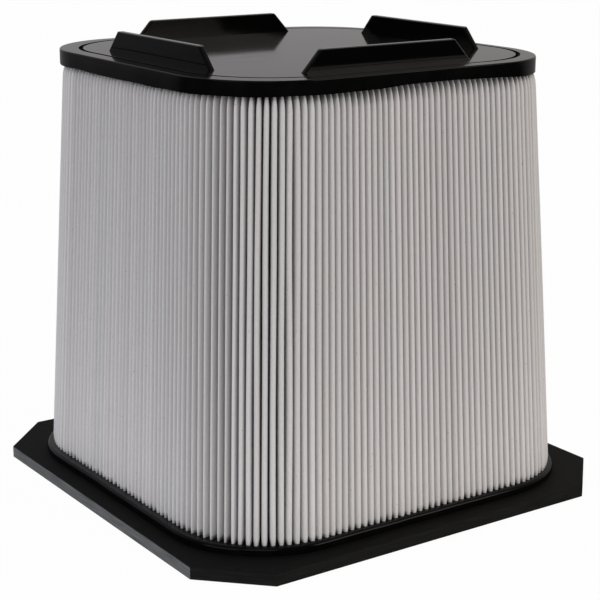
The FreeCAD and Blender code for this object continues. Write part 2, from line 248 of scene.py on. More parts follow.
def bridge(first, second):
    """Makes the wall between two loops of the piece in edit mode."""
    pick("EDGE", lambda a, b: any(on_loop(a, loop) and on_loop(b, loop)
                                  for loop in (first, second)))
    bpy.ops.mesh.bridge_edge_loops()


def walls(name, loops, ring):
    """A piece from a row of loops. A ring's last joins its first, a plate's ends are filled."""
    bpy.ops.object.select_all(action="DESELECT")
    bpy.ops.mesh.primitive_plane_add()
    piece = bpy.context.object
    piece.name = name
    edit(piece)
    bpy.ops.mesh.delete(type="VERT")
    drawn = [(half, radius, DRAWN_AT + DRAWN_APART * step)
             for step, (half, radius, _) in enumerate(loops)]
    for loop in drawn:
        add_loop(loop)
    for first, second in zip(drawn, drawn[1:]):
        bridge(first, second)
    if ring:
        bridge(drawn[-1], drawn[0])
    else:
        for loop in (drawn[0], drawn[-1]):
            pick_loop(loop)
            bpy.ops.mesh.edge_face_add()
    for loop, (_, _, level) in zip(drawn, loops):
        pick_loop(loop)
        bpy.ops.transform.translate(value=(0, 0, level - loop[2]))
    return piece


# %% [markdown]
# ## The line that the pleats follow
#
# On the real cartridge one long strip is folded, bent round a square former and joined to
# itself. The same is done here: one pleat is drawn flat, copied into a row, and the row is
# wrapped round a rounded square. The line lies a little behind the pleat tips, so that tips
# spread and inner folds close up at the corners, as they do on the real pack.
#
# The pleats are a little less deep than the solid's, because the sheet's own thickness comes
# behind them and has to stay off the cage.

# %% Draw the pitch line
low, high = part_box("pleated_media")
FOOT_HALF = high.x
FOOT_LEVEL, HEAD_LEVEL = low.z, high.z
HEAD_WIDTH, FOOT_WIDTH = 169.2 * MM, 189.0 * MM
HEAD_SCALE = HEAD_WIDTH / FOOT_WIDTH
PLEATS = 208
INSET = 2.5 * MM
DEPTH = 17.4 * MM
TIP_RADIUS = 44 * MM
LINE_STEPS = 32
line_half, line_radius = FOOT_HALF - INSET, TIP_RADIUS - INSET
bpy.ops.object.select_all(action="DESELECT")
bpy.ops.mesh.primitive_plane_add(size=2 * line_half)
pitch_line = bpy.context.object
edit(pitch_line)
bpy.ops.mesh.bevel(offset=line_radius, segments=LINE_STEPS, affect="VERTICES")
bpy.ops.mesh.delete(type="ONLY_FACE")
bpy.ops.object.mode_set(mode="OBJECT")
bpy.ops.object.convert(target="CURVE")
pitch_line.data.dimensions = "2D"
line_length = pitch_line.data.splines[0].calc_length()
PITCH = line_length / PLEATS
CORNER_LENGTH = line_radius * math.pi / 2
SIDE_LENGTH = 2 * (line_half - line_radius)
# The line starts at the far end of the left side and goes round the back, so the right side
# comes third, then the corner that faces the viewer, and the left side last
FRONT_CORNER = 3 * (CORNER_LENGTH + SIDE_LENGTH)
RIGHT_SIDE = FRONT_CORNER - SIDE_LENGTH
print("pitch line", round(line_length / MM, 2), "mm, one pleat", round(PITCH / MM, 4), "mm")

# %% [markdown]
# ## One pleat, drawn flat
#
# Seen from above, a pleat is two walls that lean together and a soft round tip, so it is
# widest inside and narrow gaps stay between the tips. The pleat starts as a narrow upright
# plane, the inner fold, and its free edge is extruded along the outline. Levels are cut across
# it, close together at head and foot, where the pleats change their shape. The sheet goes a
# little way into both cast rings.

# %% Outline of one pleat
FOLD_WIDTH = 0.3 * MM
# Half widths of a pleat at depths behind its tip
half_outline = [(1.36, 7.0), (1.20, 2.4), (1.02, 1.05), (0.80, 0.42), (0.45, 0.1), (0, 0)]
pleat_middle = (PITCH + FOLD_WIDTH) / 2
outline = [(pleat_middle - half * MM, DEPTH - deep * MM) for half, deep in half_outline]
outline += [(pleat_middle + half * MM, DEPTH - deep * MM) for half, deep in half_outline[-2::-1]]
outline.append((PITCH, 0))
print("outline of a pleat:", len(outline) + 2, "points")

# %% Model one pleat
IN_COLLAR, IN_RING = 1.6 * MM, 2.6 * MM
sheet_low, sheet_high = FOOT_LEVEL - IN_COLLAR, HEAD_LEVEL + IN_RING
sheet_height = sheet_high - sheet_low
bpy.ops.object.select_all(action="DESELECT")
bpy.ops.mesh.primitive_plane_add(size=1, rotation=(math.pi / 2, 0, 0))
filter_sheet = bpy.context.object
filter_sheet.name = "filter_sheet"
bpy.ops.object.transform_apply(location=True, rotation=True, scale=True)
edit(filter_sheet)
bpy.ops.transform.resize(value=(FOLD_WIDTH, 1, sheet_height), center_override=(0, 0, 0))
bpy.ops.transform.translate(value=(FOLD_WIDTH / 2, INSET - DEPTH, sheet_low + sheet_height / 2))
corner = (FOLD_WIDTH, 0)
for place in outline:
    edge_x = corner[0]
    pick("EDGE", lambda a, b: abs(a.x - edge_x) < NEAR and abs(b.x - edge_x) < NEAR)
    bpy.ops.mesh.extrude_region_move(TRANSFORM_OT_translate={
        "value": (place[0] - corner[0], place[1] - corner[1], 0)})
    corner = place
# Levels in millimetres over the foot and under the head
OVER_FOOT = [0.6, 1.4, 2.6, 4.4, 7.5, 26, 54, 84, 114, 142]
UNDER_HEAD = [0.4, 1.1, 2.2, 3.6, 5.4, 8.5]
levels = [FOOT_LEVEL + v * MM for v in OVER_FOOT] + [HEAD_LEVEL - v * MM for v in UNDER_HEAD]
for level in levels:
    bpy.ops.mesh.select_all(action="SELECT")
    bpy.ops.mesh.bisect(plane_co=(0, 0, level), plane_no=(0, 0, 1))
bpy.ops.object.mode_set(mode="OBJECT")
print("one pleat:", len(filter_sheet.data.vertices), "points")

# %% Copy it into a row
row = filter_sheet.modifiers.new("row", "ARRAY")
row.use_relative_offset = False
row.use_constant_offset = True
row.constant_offset_displace = (PITCH, 0, 0)
row.count = PLEATS
row.use_merge_vertices = True
row.merge_threshold = NEAR
only(filter_sheet)
bpy.ops.object.modifier_apply(modifier="row")
print("row:", len(filter_sheet.data.vertices), "points")

# %% [markdown]
# ## What handling does to the pleats
#
# No two pleats are alike. Each leans or bows a little, is a little wider or narrower, and
# stands a little further out or in. Round the corner that faces the viewer they are loosest,
# and there some gaps close while the ones beside them open. From the middle of that corner on,
# and over the whole left side, the tips are slimmer, with wide open gaps between them. All of
# it is drawn from one seeded source, so that each run gives the same pack.

# %% Draw what differs from pleat to pleat
chance = np.random.default_rng(11)
run = np.arange(PLEATS) * PITCH
loose = hump(run, FRONT_CORNER + 0.34 * CORNER_LENGTH, 20 * MM)


def smooth_row(values, reach):
    """Lets neighbours in a closed row share their values, so that they change slowly."""
    weights = np.exp(-0.5 * (np.arange(-3 * reach, 3 * reach + 1) / reach) ** 2)
    padded = np.concatenate([values[-3 * reach:], values, values[:3 * reach]])
    return np.convolve(padded, weights / np.sqrt((weights ** 2).sum()), mode="valid")


def uneven(usual, more_if_loose, reach=0):
    """A length by chance for each pleat, of a size in millimetres. A reach makes it change slowly."""
    values = chance.standard_normal(PLEATS)
    if reach:
        values = smooth_row(values, reach)
    return (usual + more_if_loose * loose) * values * MM


bow = uneven(0.06, 0.22) + uneven(0.06, 0.30, reach=2)
bow_level = 0.5 + 0.12 * chance.standard_normal(PLEATS)
sway = uneven(0.04, 0.10)
lean = uneven(0.04, 0.08)
stand = uneven(0.10, 0) + uneven(0.10, 0, reach=4)
wide = 1 + 0.035 * chance.standard_normal(PLEATS)
slim = ramp(run - FRONT_CORNER - 0.50 * CORNER_LENGTH, 6 * MM) * chance.uniform(0.8, 1.0, PLEATS)
right_side = hump(run, RIGHT_SIDE + 0.45 * SIDE_LENGTH, 56 * MM, power=4)
print("slim pleats:", int((slim > 0.5).sum()), "of", PLEATS)

# %% [markdown]
# ## How the pleats end
#
# At the head the casting pinches the tips to pencil points, most of all on the right side, and
# at the foot they end blunt. The lower edge of the upper ring rises in two places, in the
# right side and at the corner that faces the viewer, and the pinched ends follow it.

# %% Find where each point is in its pleat
SIDE_RISE, SIDE_RISE_AT, SIDE_RISE_SPREAD = 1.7 * MM, 12 * MM, 36 * MM
CORNER_RISE, CORNER_RISE_SPREAD = 0.9 * MM, 34 * MM
BORDER = 1e-4


def below_rim(row_places):
    """How far under the edge of the upper ring each point of the row of pleats is."""
    along = row_places[:, 0]
    side_middle = RIGHT_SIDE + SIDE_LENGTH / 2 - SIDE_RISE_AT
    rise = SIDE_RISE * hump(along, side_middle, SIDE_RISE_SPREAD)
    corner_middle = FRONT_CORNER + 0.4 * CORNER_LENGTH
    rise += CORNER_RISE * hump(along, corner_middle, CORNER_RISE_SPREAD)
    return HEAD_LEVEL + rise - row_places[:, 2]


places = points_of(filter_sheet)
number = np.clip((places[:, 0] / PITCH - BORDER).astype(int), 0, PLEATS - 1)
from_middle = places[:, 0] - number * PITCH - pleat_middle
outward = ramp(places[:, 1] - INSET + DEPTH, DEPTH)
behind_tip = (1 - outward) * DEPTH
over_foot = places[:, 2] - FOOT_LEVEL
height = ramp(over_foot, HEAD_LEVEL - FOOT_LEVEL)
on_right = right_side[number]
print("points on the right side:", int((on_right > 0.5).sum()))

# %% Make the pleats uneven and pinch their ends
HEAD_PINCH, HEAD_PINCH_MORE, FOOT_PINCH = 0.42, 0.17, 0.80
HEAD_PINCH_LENGTH, HEAD_PINCH_LONGER, FOOT_PINCH_LENGTH = 6.5 * MM, 2 * MM, 2.6 * MM
UNDER_RING = 0.4 * MM
HEAD_BACK, FOOT_BACK, LARGEST_STAND = 2.4 * MM, 0.5 * MM, 0.3 * MM
SLIMMEST, SLIM_DEPTH = 0.34, 7 * MM
TIP_FROM, TIP_OVER = 0.55, 0.3


def quarter_round(share):
    """Rises as a quarter circle from 0, steep at first, to 1, where it is level."""
    return np.sqrt(1 - (1 - share) ** 2)


arch = np.sin(math.pi * height) ** 0.8
ripple = np.sin(2 * math.pi * (height + bow_level[number])) * np.sin(math.pi * height)
sideways = bow[number] * arch + sway[number] * ripple + lean[number]
to_head = ramp(below_rim(places) + UNDER_RING, HEAD_PINCH_LENGTH + HEAD_PINCH_LONGER * on_right)
to_foot = ramp(over_foot, FOOT_PINCH_LENGTH)
pinch = HEAD_PINCH - HEAD_PINCH_MORE * on_right
pinch += (1 - pinch) * np.sin(math.pi / 2 * to_head) ** (1 + 0.8 * on_right)
pinch *= FOOT_PINCH + (1 - FOOT_PINCH) * quarter_round(to_foot)
tip_zone = ramp(outward - TIP_FROM, TIP_OVER)
slim_here = SLIMMEST + (1 - SLIMMEST) * ramp(behind_tip, SLIM_DEPTH) ** 0.75
from_middle *= 1 - slim[number] * (1 - slim_here)
from_middle *= 1 + (wide[number] * pinch - 1) * tip_zone
back = HEAD_BACK * (1 - quarter_round(to_head)) + FOOT_BACK * (1 - quarter_round(to_foot))
places[:, 0] = number * PITCH + pleat_middle + from_middle + sideways * outward ** 1.5
places[:, 1] -= (back - np.minimum(stand[number], LARGEST_STAND)) * tip_zone
move_points(filter_sheet, places)
print("largest sideways bow:", round(float(np.abs(sideways).max()) / MM, 2), "mm")

# %% [markdown]
# ## Tone, painted light and painted shade on the pleats
#
# Pleats differ a little in tone. Painted shade darkens the flanks deep between them, but not
# on the left side, where painted light makes those flanks paler instead. Painted light makes the
# foot a little paler than the head, and painted shade makes the left side a little darker, most
# towards the head. At head and foot the fleece is darkened to near black, more in the gaps than
# on the tips: partly resin soaked into the fleece, partly painted shade under the upper ring and
# down the gaps. Each is kept as an attribute that the finish reads.

# %% Tone, painted light and painted shade
# Painted shade in the folds, and painted light on the flanks of the left side instead
FOLD_SHADE, FOLD_SHADE_DEPTH = 0.10, 5 * MM
FLANK_LIGHT, FLANK_LIGHT_DEPTH = 0.14, 0.6 * MM
TONE_LOWEST, TONE_RANGE = 0.94, 0.09
# Painted light at the foot and painted shade on the left side
EVEN, FOOT_LIGHT, LEFT_SHADE, LEFT_HEAD_SHADE = 0.96, 0.27, 0.03, 0.07
pleat_tone = chance.uniform(0, 1, PLEATS)[number]
# Painted shade darkens the flanks deep in the folds; on the left side painted light makes them paler
# instead
painted_fold_shade = 1 - FOLD_SHADE * ramp(behind_tip, FOLD_SHADE_DEPTH)
painted_flank_light = 1 + FLANK_LIGHT * ramp(behind_tip, FLANK_LIGHT_DEPTH)
on_left = ramp(run - FRONT_CORNER - 0.85 * CORNER_LENGTH, 40 * MM)[number]
tone_and_painted_light = (painted_fold_shade + (painted_flank_light - painted_fold_shade) * on_left) * (TONE_LOWEST + TONE_RANGE * pleat_tone)
# Painted shade darkens the left side, most towards the head, and painted light makes the foot paler
darker = on_left * (LEFT_SHADE + LEFT_HEAD_SHADE * height ** 3)
tone_and_painted_light *= EVEN + FOOT_LIGHT * (1 - height) ** 3 - darker
print("brightness from", round(float(tone_and_painted_light.min()), 2), "to", round(float(tone_and_painted_light.max()), 2))

# %% Resin and painted shade in the fleece
# The fleece is darkened to near black at head and foot: partly resin soaked in, partly painted shade
# under the upper ring and down the gaps
HEAD_DARK_REACH, HEAD_DARK_REACH_MORE, FOOT_DARK_REACH = 1.3 * MM, 3.2 * MM, 1.3 * MM
FULL_AT_HEAD, FULL_AT_FOOT, FAINTER_ON_RIGHT = 1.25, 1.2, 0.45
ON_TIP, TIP_END, TIP_FADE = 0.25, 0.985, 0.05
head_dark_reach = (HEAD_DARK_REACH + HEAD_DARK_REACH_MORE * right_side) * chance.uniform(0.6, 1.3, PLEATS)
foot_dark_reach = FOOT_DARK_REACH * chance.uniform(0.5, 1.6, PLEATS)
at_head = np.clip(FULL_AT_HEAD - below_rim(places) / head_dark_reach[number], 0, 1)
at_head *= 1 - FAINTER_ON_RIGHT * on_right
at_foot = np.clip(FULL_AT_FOOT - over_foot / foot_dark_reach[number], 0, 1)
# Painted shade: the gaps are darkened more than the tips
in_gap = ON_TIP + (1 - ON_TIP) * ramp(TIP_END - outward, TIP_FADE)
resin_and_painted_shade = np.maximum(at_head, at_foot) * in_gap
for title, values in (
    ("pleat_tone", pleat_tone),
    ("tone_and_painted_light", tone_and_painted_light),
    ("resin_and_painted_shade", resin_and_painted_shade),
):
    attribute = filter_sheet.data.attributes.new(title, "FLOAT", "POINT")
    attribute.data.foreach_set("value", values)
print("points with resin:", int((resin_and_painted_shade > 0.5).sum()))

# %% [markdown]
# ## Wrap the row round, taper it and give it thickness
#
# The row is bent round the pitch line by a curve modifier, its two ends are merged, and the
# whole sheet narrows evenly towards the head. The pack has given a little on two sides: the
# far one, towards x, is drawn in at the head, and the left one, towards -x, at the foot. The
# filter media is a stiff fleece about half a millimetre thick, so the skin gets that thickness
# inwards, and the tips stay where they are.

# %% Wrap and taper
HEAD_GIVE, FOOT_GIVE = 3.0 * MM, 1.4 * MM
wrap = filter_sheet.modifiers.new("wrap", "CURVE")
wrap.object = pitch_line
wrap.deform_axis = "POS_X"
only(filter_sheet)
bpy.ops.object.modifier_apply(modifier="wrap")
places = points_of(filter_sheet)
rising = (places[:, 2] - FOOT_LEVEL) / (HEAD_LEVEL - FOOT_LEVEL)
narrowing = 1 + (HEAD_SCALE - 1) * rising
places[:, :2] *= narrowing[:, None]
tips = ramp(np.abs(places[:, 0]) / narrowing - (FOOT_HALF - DEPTH), DEPTH)
rising = np.clip(rising, 0, 1)
give = np.where(places[:, 0] > 0, HEAD_GIVE * rising ** 2.5, -FOOT_GIVE * (1 - rising))
places[:, 0] -= give * tips
move_points(filter_sheet, places)
bpy.data.objects.remove(pitch_line)
edit(filter_sheet)
bpy.ops.mesh.remove_doubles(threshold=0.02 * MM)
bpy.ops.mesh.normals_make_consistent(inside=False)
bpy.ops.object.mode_set(mode="OBJECT")
reach = np.abs(points_of(filter_sheet)).max(0)
print("tips reach", [round(float(c) / MM, 2) for c in reach])

# %% Thicken
SHEET_THICKNESS = 0.5 * MM
skin = filter_sheet.modifiers.new("skin", "SOLIDIFY")
skin.thickness = SHEET_THICKNESS
skin.offset = -1
skin.use_even_offset = True
bpy.ops.object.modifier_apply(modifier="skin")
bpy.ops.object.shade_smooth_by_angle(angle=math.radians(75))
print("filter sheet:", triangles(filter_sheet), "triangles")

# %% [markdown]
# ## The upper ring
#
# The pleat heads stand in a ring of black casting resin. Its mould gives it a clean outer
# wall and a clean upper edge, but its lower edge is where the resin stopped among the pleats,
# so it wanders. It rises in the right side, where the wall also draws in, and at the corner
# that faces the viewer. The closing plate sits in a seat on the inside.

# %% Model the upper ring
low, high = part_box("upper_potting_ring")
rim_half, rim_low, rim_high = high.x, low.z, high.z
low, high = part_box("closing_plate")
plate_half, plate_low = high.x, low.z
RIM_RADIUS, SEAT_RADIUS = 40.9 * MM, 38.8 * MM
EDGE_HEIGHT = 3.4 * MM
RIM_ROUNDING, SEAM_ROUNDING = 0.5 * MM, 0.15 * MM
SEAT_GAP = 0.9 * MM
seat_half = plate_half + SEAT_GAP
neck_half, neck_radius = 68.5 * MM, 23.3 * MM
rim_loops = [
    (rim_half, RIM_RADIUS, rim_low),
    (rim_half, RIM_RADIUS, rim_low + EDGE_HEIGHT),
    (rim_half, RIM_RADIUS, rim_high),
    (seat_half, SEAT_RADIUS, rim_high),
    (seat_half, SEAT_RADIUS, plate_low),
    (neck_half, neck_radius, plate_low),
    (neck_half, neck_radius, rim_low),
]
upper_ring = walls("upper_ring", rim_loops, ring=True)
round_edge(rim_loops[2], RIM_ROUNDING, 3)
round_edge(rim_loops[3], SEAM_ROUNDING, 2)
close(upper_ring)
print("upper ring:", triangles(upper_ring), "triangles")


# %% Make the ring uneven
NEAR_WALL = 0.28


def wander(places, size, waves):
    """A slow closed wave round the axis, from a few waves with seeded starts."""
    bearing = np.arctan2(places[:, 1], places[:, 0])
    total = np.zeros(len(places))
    for count in waves:
        total += np.sin(count * bearing + chance.uniform(0, 2 * math.pi))
    return size * total / len(waves)


def in_right_side(places, spread):
    """A soft hump along the right side, at the place where the ring's lower edge rises."""
    near_wall = ramp(-places[:, 1] - (1 - NEAR_WALL) * rim_half, NEAR_WALL * rim_half)
    return near_wall * hump(places[:, 0], SIDE_RISE_AT, spread)


CORNER_BEARING, CORNER_BEARING_SPREAD = math.radians(-132), 0.36
DRAWN_IN, DRAWN_IN_SPREAD = 0.9 * MM, 30 * MM
EDGE_WANDER, WALL_WANDER = 0.35 * MM, 0.12 * MM
places = points_of(upper_ring)
outer = np.array([outline_distance(p, rim_half, RIM_RADIUS) > -1.2 * MM for p in places])
lowness = ramp(rim_low + EDGE_HEIGHT - places[:, 2], EDGE_HEIGHT) * outer
rise = SIDE_RISE * in_right_side(places, SIDE_RISE_SPREAD)
bearing = np.arctan2(places[:, 1], places[:, 0])
rise += CORNER_RISE * hump(bearing, CORNER_BEARING, CORNER_BEARING_SPREAD)
rise += wander(places, EDGE_WANDER, (3, 7, 13, 23))
draw_in = DRAWN_IN * in_right_side(places, DRAWN_IN_SPREAD)
places[:, 2] += rise * lowness
places[:, 1] += draw_in * lowness
places[:, 0] -= HEAD_GIVE * ramp(places[:, 0], rim_half) * outer
wall = WALL_WANDER + wander(places, WALL_WANDER, (4, 9, 17)) * outer
places[:, :2] *= (1 - wall / rim_half)[:, None]
move_points(upper_ring, places)
firm(upper_ring)
print("lower edge rises by up to", round(float((rise * lowness).max()) / MM, 1), "mm")

# %% [markdown]
# ## The collar at the foot
#
# The pleat feet stand in a second cast ring on the flange. It is hand poured as well: its
# upper edge is rounded and its outline wanders by a few tenths of a millimetre.

# %% Model the collar
low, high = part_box("lower_potting_ring")
collar_half, collar_low, collar_high = high.x, low.z, high.z
COLLAR_RADIUS, COLLAR_ROUNDING = 46.4 * MM, 1.5 * MM
INSIDE_HALF, INSIDE_RADIUS = 76.5 * MM, 26 * MM
OUTLINE_WANDER, TOP_WANDER, TOP_SUNK = 0.3 * MM, 0.25 * MM, 0.1 * MM
collar_loops = [
    (collar_half, COLLAR_RADIUS, collar_low),
    (collar_half, COLLAR_RADIUS, collar_high),
    (INSIDE_HALF, INSIDE_RADIUS, collar_high),
    (INSIDE_HALF, INSIDE_RADIUS, collar_low),
]
collar = walls("collar", collar_loops, ring=True)
round_edge(collar_loops[1], COLLAR_ROUNDING, 4)
close(collar)
places = points_of(collar)
outer = np.array([outline_distance(p, collar_half, COLLAR_RADIUS) > -1.6 * MM for p in places])
inset = OUTLINE_WANDER + wander(places, OUTLINE_WANDER, (5, 11, 19))
places[:, :2] *= (1 - inset * outer / collar_half)[:, None]
raised = (places[:, 2] > collar_low + 1 * MM) * outer
places[:, 2] += (wander(places, TOP_WANDER, (4, 9, 15, 27)) - TOP_SUNK) * raised
move_points(collar, places)
firm(collar)
print("collar:", triangles(collar), "triangles")

# %% [markdown]
# ## The closing plate and its ribs
#
# The plate is a moulding with four low ribs near its sides, which aren't quite evenly placed.
# A rib is a plain bar whose ends slope, and its edges are broken so that they catch a line of
# light. One rib is modelled and copied round the plate, and the five are joined into one solid.

# %% Model the plate
plate_top = rim_high
low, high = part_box("closing_plate")
rib_top = high.z
PLATE_GAP, PLATE_RADIUS = 0.9 * MM, 37.5 * MM
plate_loops = [
    (plate_half - PLATE_GAP, PLATE_RADIUS, plate_low),
    (plate_half - PLATE_GAP, PLATE_RADIUS, plate_top),
]
plate = walls("closing_plate_with_ribs", plate_loops, ring=False)
round_edge(plate_loops[1], SEAM_ROUNDING, 2)
close(plate)
print("plate:", triangles(plate), "triangles")

# %% Model one rib
RIB_LENGTH, RIB_CREST, RIB_THICK = 84.4 * MM, 67.0 * MM, 2.8 * MM
CREST_THICK = 0.93 * RIB_THICK
CREST_CORNER, RIB_EDGE = 0.9 * MM, 0.3 * MM
RIB_MIDDLE = 68 * MM
SUNK = 0.6 * MM
rib_height = rib_top - plate_top + SUNK
bpy.ops.object.select_all(action="DESELECT")
bpy.ops.mesh.primitive_cube_add(
    size=1, location=(0, -RIB_MIDDLE, plate_top - SUNK + rib_height / 2),
    scale=(RIB_LENGTH, RIB_THICK, rib_height))
rib = bpy.context.object
bpy.ops.object.transform_apply(location=True, rotation=True, scale=True)
edit(rib)
pick("FACE", lambda c, n: n.z > 0.9)
bpy.ops.transform.resize(value=(RIB_CREST / RIB_LENGTH, CREST_THICK / RIB_THICK, 1),
                         center_override=(0, -RIB_MIDDLE, rib_top))
pick("EDGE", lambda a, b: max(a.z, b.z) > rib_top - NEAR and (a - b).length < RIB_CREST / 2)
bpy.ops.mesh.bevel(offset=CREST_CORNER, segments=3, affect="EDGES")
close(rib)
soften(rib, RIB_EDGE)
print("rib:", triangles(rib), "triangles")

# %% Copy the rib round the plate and join all five
RIB_SHIFTS = (-2.2 * MM, 0, 0, -1.2 * MM)
for quarter, shift in enumerate(RIB_SHIFTS):
    copy = rib.copy()
    copy.data = rib.data.copy()
    bpy.context.collection.objects.link(copy)
    edit(copy)
    bpy.ops.transform.rotate(value=quarter * math.pi / 2, orient_axis="Z",
                             center_override=(0, 0, 0))
    bpy.ops.transform.translate(value=(shift, 0, 0))
    bpy.ops.object.mode_set(mode="OBJECT")
    add_or_cut(plate, copy, "UNION")
bpy.data.objects.remove(rib)
edit(plate)
close(plate, 30)
firm(plate)
print("plate with ribs:", triangles(plate), "triangles")

# %% [markdown]
# ## The flange
#
# The flange is cut from a black plastic sheet: a square with cut corners and one large
# opening. Its sawn edges are straight and slightly broken. It starts as a plane whose corners
# are bevelled in one step, which cuts them off, and the opening is taken out by a rounded
# block.

# %% Model the flange
low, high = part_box("base_flange")
flange_half, flange_top = high.x, high.z
CORNER_CUT, SAWN_EDGE = 24.3 * MM, 0.35 * MM
OUTLET_HALF, OUTLET_RADIUS, PAST_FACE = 72.5 * MM, 22 * MM, 2 * MM
bpy.ops.object.select_all(action="DESELECT")
bpy.ops.mesh.primitive_plane_add(size=2 * flange_half)
flange = bpy.context.object
flange.name = "flange"
edit(flange)
bpy.ops.mesh.bevel(offset=CORNER_CUT, segments=1, affect="VERTICES")
bpy.ops.mesh.extrude_region_move(TRANSFORM_OT_translate={"value": (0, 0, flange_top)})
pick("EDGE", lambda a, b: True)
bpy.ops.mesh.bevel(offset=SAWN_EDGE, segments=2, affect="EDGES")
close(flange)
cutter = walls("cutter", [(OUTLET_HALF, OUTLET_RADIUS, -PAST_FACE),
                          (OUTLET_HALF, OUTLET_RADIUS, flange_top + PAST_FACE)], ring=False)
close(cutter)
add_or_cut(flange, cutter, "DIFFERENCE")
edit(flange)
close(flange, 30)
firm(flange)
print("flange:", triangles(flange), "triangles")

# %% [markdown]
# ## Materials
#
# Each finish is a small net of nodes on the object's own coordinates, so it stays with the
# piece from any side. Patterns are given by the size of their spots.

# %% Helpers for node nets
def new_finish(name, roughness, specular):
    """A material with its shader, ready for its nodes."""
    material = bpy.data.materials.new(name)
    material.use_nodes = True
    shader = material.node_tree.nodes["Principled BSDF"]
    shader.inputs["Roughness"].default_value = roughness
    shader.inputs["Specular IOR Level"].default_value = specular
    return material, material.node_tree, shader


def feed(net, node, socket, value):
    """Links another node's output to an input, or sets the input to a plain value."""
    if isinstance(value, bpy.types.NodeSocket):
        net.links.new(value, node.inputs[socket])
    else:
        node.inputs[socket].default_value = value


def add_node(net, kind, inputs=None, **settings):
    """Adds a node, sets its properties and feeds its inputs."""
    node = net.nodes.new(kind)
    for key, value in settings.items():
        setattr(node, key, value)
    for socket, value in (inputs or {}).items():
        feed(net, node, socket, value)
    return node


def dress(finish, *pieces):
    """Gives pieces this one finish."""
    for piece in pieces:
        piece.data.materials.clear()
        piece.data.materials.append(finish)


# %% Helpers for patterns and mixes
def spots(net, size, detail=3, stretch=(1, 1, 1)):
    """Cloudy spots of a given size in metres, stretched along the axes."""
    place = add_node(net, "ShaderNodeTexCoord").outputs["Object"]
    scale = [1 / (size * s) for s in stretch]
    mapped = add_node(net, "ShaderNodeMapping", {"Vector": place, "Scale": scale})
    return add_node(net, "ShaderNodeTexNoise", {"Vector": mapped.outputs["Vector"], "Scale": 1,
                                                "Detail": detail}).outputs["Fac"]


def spread(net, source, low, high, start=0.3, end=0.7):
    """Maps a pattern to a range of plain values."""
    return add_node(net, "ShaderNodeMapRange", {
        "Value": source, "From Min": start, "From Max": end, "To Min": low, "To Max": high,
    }).outputs["Result"]


def mix(net, factor, first, second, kind="RGBA", how="MIX"):
    """A colour or a number between two, chosen by a pattern."""
    return add_node(net, "ShaderNodeMix", {"Factor": factor, "A": first, "B": second},
                    data_type=kind, blend_type=how).outputs["Result"]


def scaled(net, colour, value):
    """A colour made lighter or darker by a pattern."""
    return mix(net, 1, colour, value, how="MULTIPLY")


def combine(net, how, first, second=0):
    """A number worked out from one or two others."""
    return add_node(net, "ShaderNodeMath", {0: first, 1: second}, operation=how).outputs["Value"]


def raise_surface(net, shader, height, depth, strength, over=None):
    """Adds a small relief, given in metres, over an earlier one if there is one."""
    node = add_node(net, "ShaderNodeBump", {"Height": height, "Distance": depth,
                                            "Strength": strength})
    if over is not None:
        feed(net, node, "Normal", over)
    feed(net, shader, "Normal", node.outputs["Normal"])
    return node.outputs["Normal"]


# %% Helpers for places and directions
def part_of(net, vector, axis):
    """One coordinate of a place or a direction."""
    return add_node(net, "ShaderNodeSeparateXYZ", {"Vector": vector}).outputs[axis]


def face_towards(net, axis):
    """How much a face looks along an axis, whatever its smoothing."""
    return part_of(net, add_node(net, "ShaderNodeNewGeometry").outputs["True Normal"], axis)


def levelness(net):
    """How level a face is: 1 for a level one, 0 for an upright one."""
    return combine(net, "ABSOLUTE", face_towards(net, "Z"))


def along(net, place, line):
    """How far a place or a direction goes along a line."""
    return add_node(net, "ShaderNodeVectorMath", {0: place, 1: line},
                    operation="DOT_PRODUCT").outputs["Value"]


# %% [markdown]
# ## The fleece
#
# Filter fleece is a mat of fine white fibres with no gloss. Close up it is mottled and a
# little rough. Pleats differ slightly in tone and hue, and here and there a dark speck sits in
# the mat. The tone with its painted light and shade, and the resin with its painted shade, come
# from the sheet's own attributes.

# %% Paint the fleece
WHITE_LOW, WHITE_HIGH = (0.548, 0.548, 0.551, 1), (0.594, 0.594, 0.597, 1)
REDDISH, GREENISH = (1.0, 0.984, 0.978, 1), (0.984, 0.994, 0.982, 1)
RESIN_AND_SHADE_BLACK = (0.020, 0.025, 0.021, 1)
HUE_TURN = 0.37
fleece, net, shader = new_finish("filter_fleece", 0.95, 0.15)
tone_of, tone_and_light_at, resin_and_shade_at = (
    add_node(net, "ShaderNodeAttribute", attribute_name=title).outputs["Fac"]
    for title in ("pleat_tone", "tone_and_painted_light", "resin_and_painted_shade"))
mat = spots(net, 0.5 * MM, 4, (1, 1, 3))
# This attribute holds painted light and painted shade as well as each pleat's tone
white = scaled(net, mix(net, spread(net, mat, 0, 1), WHITE_LOW, WHITE_HIGH), tone_and_light_at)
hue_of = combine(net, "PINGPONG", tone_of, HUE_TURN)
white = scaled(net, white, mix(net, spread(net, hue_of, 0, 1, 0, HUE_TURN), REDDISH, GREENISH))
# Near black where resin soaked in, and as painted shade under the upper ring and in the gaps
base = mix(net, resin_and_shade_at, white, RESIN_AND_SHADE_BLACK)
speck = spread(net, spots(net, 1.1 * MM, 1), 1, 0.5, 0.78, 0.80)
feed(net, shader, "Base Color", scaled(net, base, speck))
relief = raise_surface(net, shader, mat, 0.04 * MM, 0.5)
raise_surface(net, shader, spots(net, 3 * MM, 2, (1, 1, 4)), 0.08 * MM, 0.4, relief)
dress(fleece, filter_sheet)
print("fleece nodes:", len(net.nodes))

